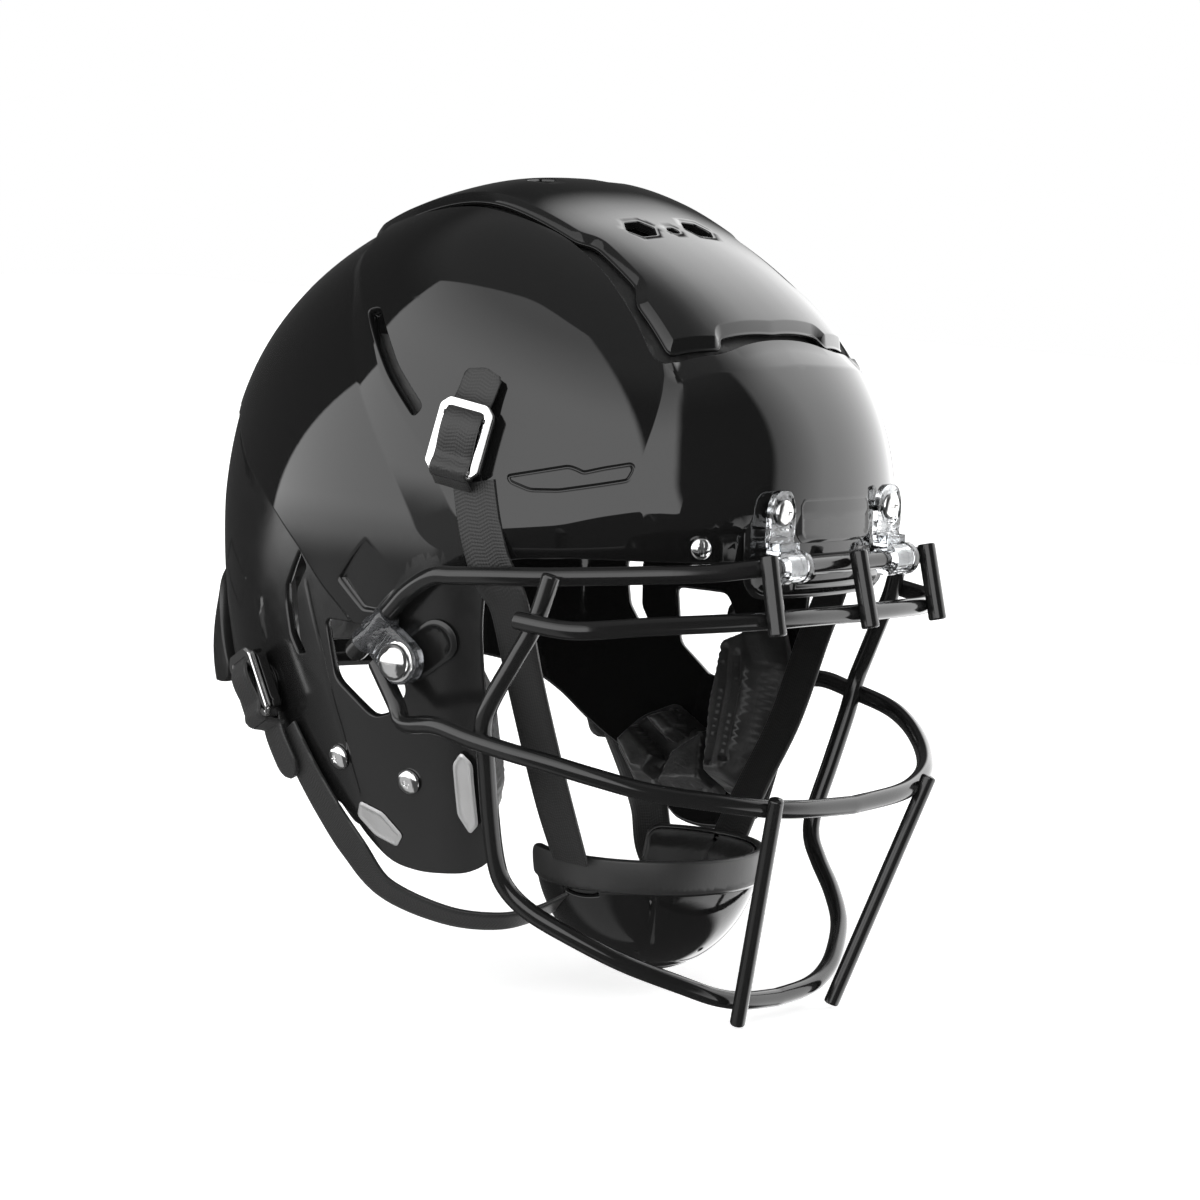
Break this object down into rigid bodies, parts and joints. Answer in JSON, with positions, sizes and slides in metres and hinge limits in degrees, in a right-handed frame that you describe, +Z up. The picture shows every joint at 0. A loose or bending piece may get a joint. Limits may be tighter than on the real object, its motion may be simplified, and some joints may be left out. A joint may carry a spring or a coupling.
{
  "type": "american football helmet",
  "caption": "American football helmet with a vented hard shell, sprung crown plate, padded liner, wire face mask on clips and a strapped chin cup.",
  "frame": {"origin": "inside the head cavity, on the middle plane, at brow-edge height and at the shell's middle length: the head_seat mount", "axes": "+X is the wearer's left, -Y is the front of the helmet, +Z is up"},
  "size_m": [0.2602, 0.3165, 0.3151],
  "materials": {
    "shell": "gloss",
    "crown_plate": "gloss",
    "crown_foam": "matte",
    "bumper": "satin",
    "nameplate": "satin",
    "white_label": "satin",
    "clear_clip": "gloss",
    "smoky_clip": "gloss",
    "chrome": "polished",
    "silver_label": "satin",
    "liner_pad": "matte",
    "jaw_pad": "satin",
    "mask_wire": "gloss",
    "snap_block": "satin",
    "strap": "matte",
    "cup": "gloss",
    "cup_liner": "matte"
  },
  "bodies": {
    "helmet": {"shell": "shell", "crown_foam": "crown_foam", "front_bumper": "bumper", "nameplate": "nameplate", "rear_bumper": "bumper", "rear_label": "white_label", "front_clip_right": "clear_clip", "front_clip_left": "clear_clip", "front_clip_screws": "chrome", "brow_screws": "chrome", "jaw_screws": "chrome", "clip_base_right": "smoky_clip", "clip_base_left": "smoky_clip", "jaw_labels_front": "silver_label", "jaw_labels_rear": "silver_label", "brow_pad": "liner_pad", "crown_pad": "liner_pad", "side_pad_right": "liner_pad", "side_pad_left": "liner_pad", "rear_pad": "liner_pad", "nape_pad": "liner_pad", "jaw_pad_right": "jaw_pad", "jaw_pad_left": "jaw_pad", "cheek_pad_right": "jaw_pad", "cheek_pad_left": "jaw_pad", "snap_studs": "chrome", "upper_strap_right": "strap", "upper_strap_left": "strap", "lower_strap_right": "strap", "lower_strap_left": "strap", "chin_cup": "cup", "chin_cup_liner": "cup_liner"},
    "crown_plate": {"crown_plate": "crown_plate"},
    "facemask": {"top_bar": "mask_wire", "side_rail_right": "mask_wire", "side_rail_left": "mask_wire", "brow_bar": "mask_wire", "mid_bar": "mask_wire", "frame_bar": "mask_wire", "brow_links": "mask_wire", "chin_bars": "mask_wire", "side_clip_right": "smoky_clip", "side_clip_left": "smoky_clip"},
    "quarter_turn_right": {"quarter_turn_right": "chrome"},
    "quarter_turn_left": {"quarter_turn_left": "chrome"},
    "upper_snap_right": {"upper_snap_right": "snap_block"},
    "upper_buckle_right": {"upper_buckle_right": "chrome"},
    "upper_snap_left": {"upper_snap_left": "snap_block"},
    "upper_buckle_left": {"upper_buckle_left": "chrome"},
    "lower_snap_right": {"lower_snap_right": "snap_block"},
    "lower_buckle_right": {"lower_buckle_right": "chrome"},
    "lower_snap_left": {"lower_snap_left": "snap_block"},
    "lower_buckle_left": {"lower_buckle_left": "chrome"}
  },
  "joints": [
    {"name": "facemask_swing", "type": "hinge", "parent": "helmet", "child": "facemask", "pos_m": [0, -0.147, -0.002], "axis": [-1, 0, 0], "range_deg": [0, 60]},
    {"name": "crown_plate_press", "type": "slide", "parent": "helmet", "child": "crown_plate", "axis": [0, 0, -1], "range_m": [0, 0.003], "stiffness_N_per_m": 20000},
    {"name": "quarter_turn_right", "type": "hinge", "parent": "facemask", "child": "quarter_turn_right", "pos_m": [-0.122, -0.033, -0.045], "axis": [-1, 0, 0], "range_deg": [0, 90]},
    {"name": "quarter_turn_left", "type": "hinge", "parent": "facemask", "child": "quarter_turn_left", "pos_m": [0.122, -0.033, -0.045], "axis": [1, 0, 0], "range_deg": [0, 90]},
    {"name": "upper_snap_right", "type": "slide", "parent": "helmet", "child": "upper_snap_right", "axis": [-0.9507, -0.2663, 0.1589], "range_m": [0, 0.008]},
    {"name": "upper_buckle_right", "type": "hinge", "parent": "upper_snap_right", "child": "upper_buckle_right", "pos_m": [-0.1214, -0.05046, 0.02877], "axis": [0.2132, -0.9334, -0.2887], "range_deg": [0, 35]},
    {"name": "upper_snap_left", "type": "slide", "parent": "helmet", "child": "upper_snap_left", "axis": [0.9507, -0.2663, 0.1589], "range_m": [0, 0.008]},
    {"name": "upper_buckle_left", "type": "hinge", "parent": "upper_snap_left", "child": "upper_buckle_left", "pos_m": [0.1214, -0.05046, 0.02877], "axis": [0.2132, 0.9334, 0.2887], "range_deg": [0, 35]},
    {"name": "lower_snap_right", "type": "slide", "parent": "helmet", "child": "lower_snap_right", "axis": [-0.9108, 0.3613, -0.1999], "range_m": [0, 0.008]},
    {"name": "lower_buckle_right", "type": "hinge", "parent": "lower_snap_right", "child": "lower_buckle_right", "pos_m": [-0.10781, 0.04972, -0.07758], "axis": [-0.4125, -0.8192, 0.3985], "range_deg": [0, 35]},
    {"name": "lower_snap_left", "type": "slide", "parent": "helmet", "child": "lower_snap_left", "axis": [0.9108, 0.3613, -0.1999], "range_m": [0, 0.008]},
    {"name": "lower_buckle_left", "type": "hinge", "parent": "lower_snap_left", "child": "lower_buckle_left", "pos_m": [0.10781, 0.04972, -0.07758], "axis": [-0.4125, 0.8192, -0.3985], "range_deg": [0, 35]}
  ]
}
